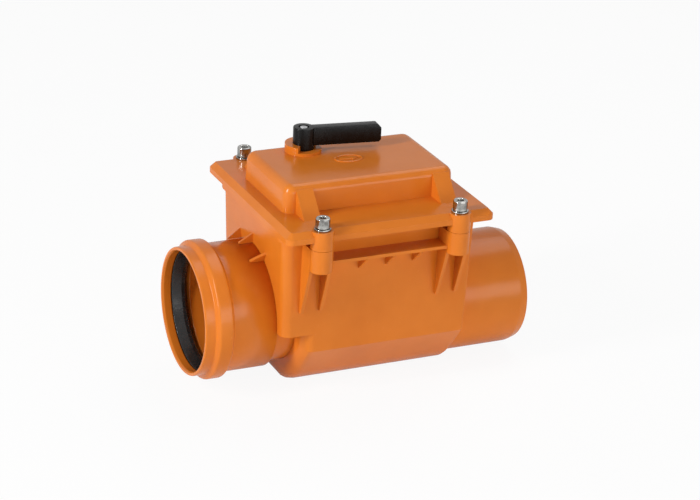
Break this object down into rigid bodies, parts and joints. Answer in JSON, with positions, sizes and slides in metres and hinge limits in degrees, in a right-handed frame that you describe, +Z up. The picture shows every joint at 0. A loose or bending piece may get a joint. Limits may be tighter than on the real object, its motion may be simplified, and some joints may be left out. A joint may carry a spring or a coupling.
{
  "type": "backwater valve",
  "caption": "Drain backwater valve: moulded chamber with push-fit socket and spigot, screwed-down domed cover, hanging flap and a quarter-turn locking lever.",
  "frame": {"origin": "on the surface it stands on, below the middle of the whole length and of the width", "axes": "+X along the pipe, the way the water flows, from socket to spigot; +Z up towards the lever; -Y is the front, the side the picture shows"},
  "size_m": [0.3256, 0.2048, 0.2271],
  "materials": {
    "orange_pvc": "semi-gloss orange-brown moulded PVC",
    "black_plastic": "satin black moulded plastic",
    "black_rubber": "matt black rubber",
    "plated_steel": "bright zinc-plated steel",
    "stainless_steel": "turned stainless steel"
  },
  "bodies": {
    "housing": {"valve_chamber": "orange_pvc", "inlet_seat": "orange_pvc", "inlet_socket": "orange_pvc", "outlet_spigot": "orange_pvc", "cover": "orange_pvc", "socket_seal": "black_rubber", "cover_gasket": "black_rubber", "spindle_o_ring_upper": "black_rubber", "spindle_o_ring_lower": "black_rubber", "cover_bolt_front_inlet": "plated_steel", "cover_bolt_front_outlet": "plated_steel", "cover_bolt_back_inlet": "plated_steel", "cover_bolt_back_outlet": "plated_steel", "cover_washer_front_inlet": "plated_steel", "cover_washer_front_outlet": "plated_steel", "cover_washer_back_inlet": "plated_steel", "cover_washer_back_outlet": "plated_steel", "threaded_insert_front_inlet": "plated_steel", "threaded_insert_front_outlet": "plated_steel", "threaded_insert_back_inlet": "plated_steel", "threaded_insert_back_outlet": "plated_steel", "hinge_pin": "stainless_steel", "hinge_pin_clip": "stainless_steel"},
    "flap": {"flap_plate": "black_plastic", "flap_seal": "black_rubber", "flap_seal_retainer": "black_plastic", "flap_screw_1": "stainless_steel", "flap_screw_2": "stainless_steel", "flap_screw_3": "stainless_steel", "flap_screw_4": "stainless_steel"},
    "lever": {"lock_spindle": "stainless_steel", "lever_handle": "black_plastic", "lever_screw": "stainless_steel", "lock_cam": "black_plastic", "cam_screw": "stainless_steel"}
  },
  "joints": [
    {"name": "flap_hinge", "type": "hinge", "parent": "housing", "child": "flap", "pos_m": [-0.0603, 0, 0.1386], "axis": [0, -1, 0], "range_deg": [0, 70]},
    {"name": "lever_turn", "type": "hinge", "parent": "housing", "child": "lever", "pos_m": [-0.0365, 0.031, 0.2], "axis": [0, 0, -1], "range_deg": [0, 90]}
  ]
}
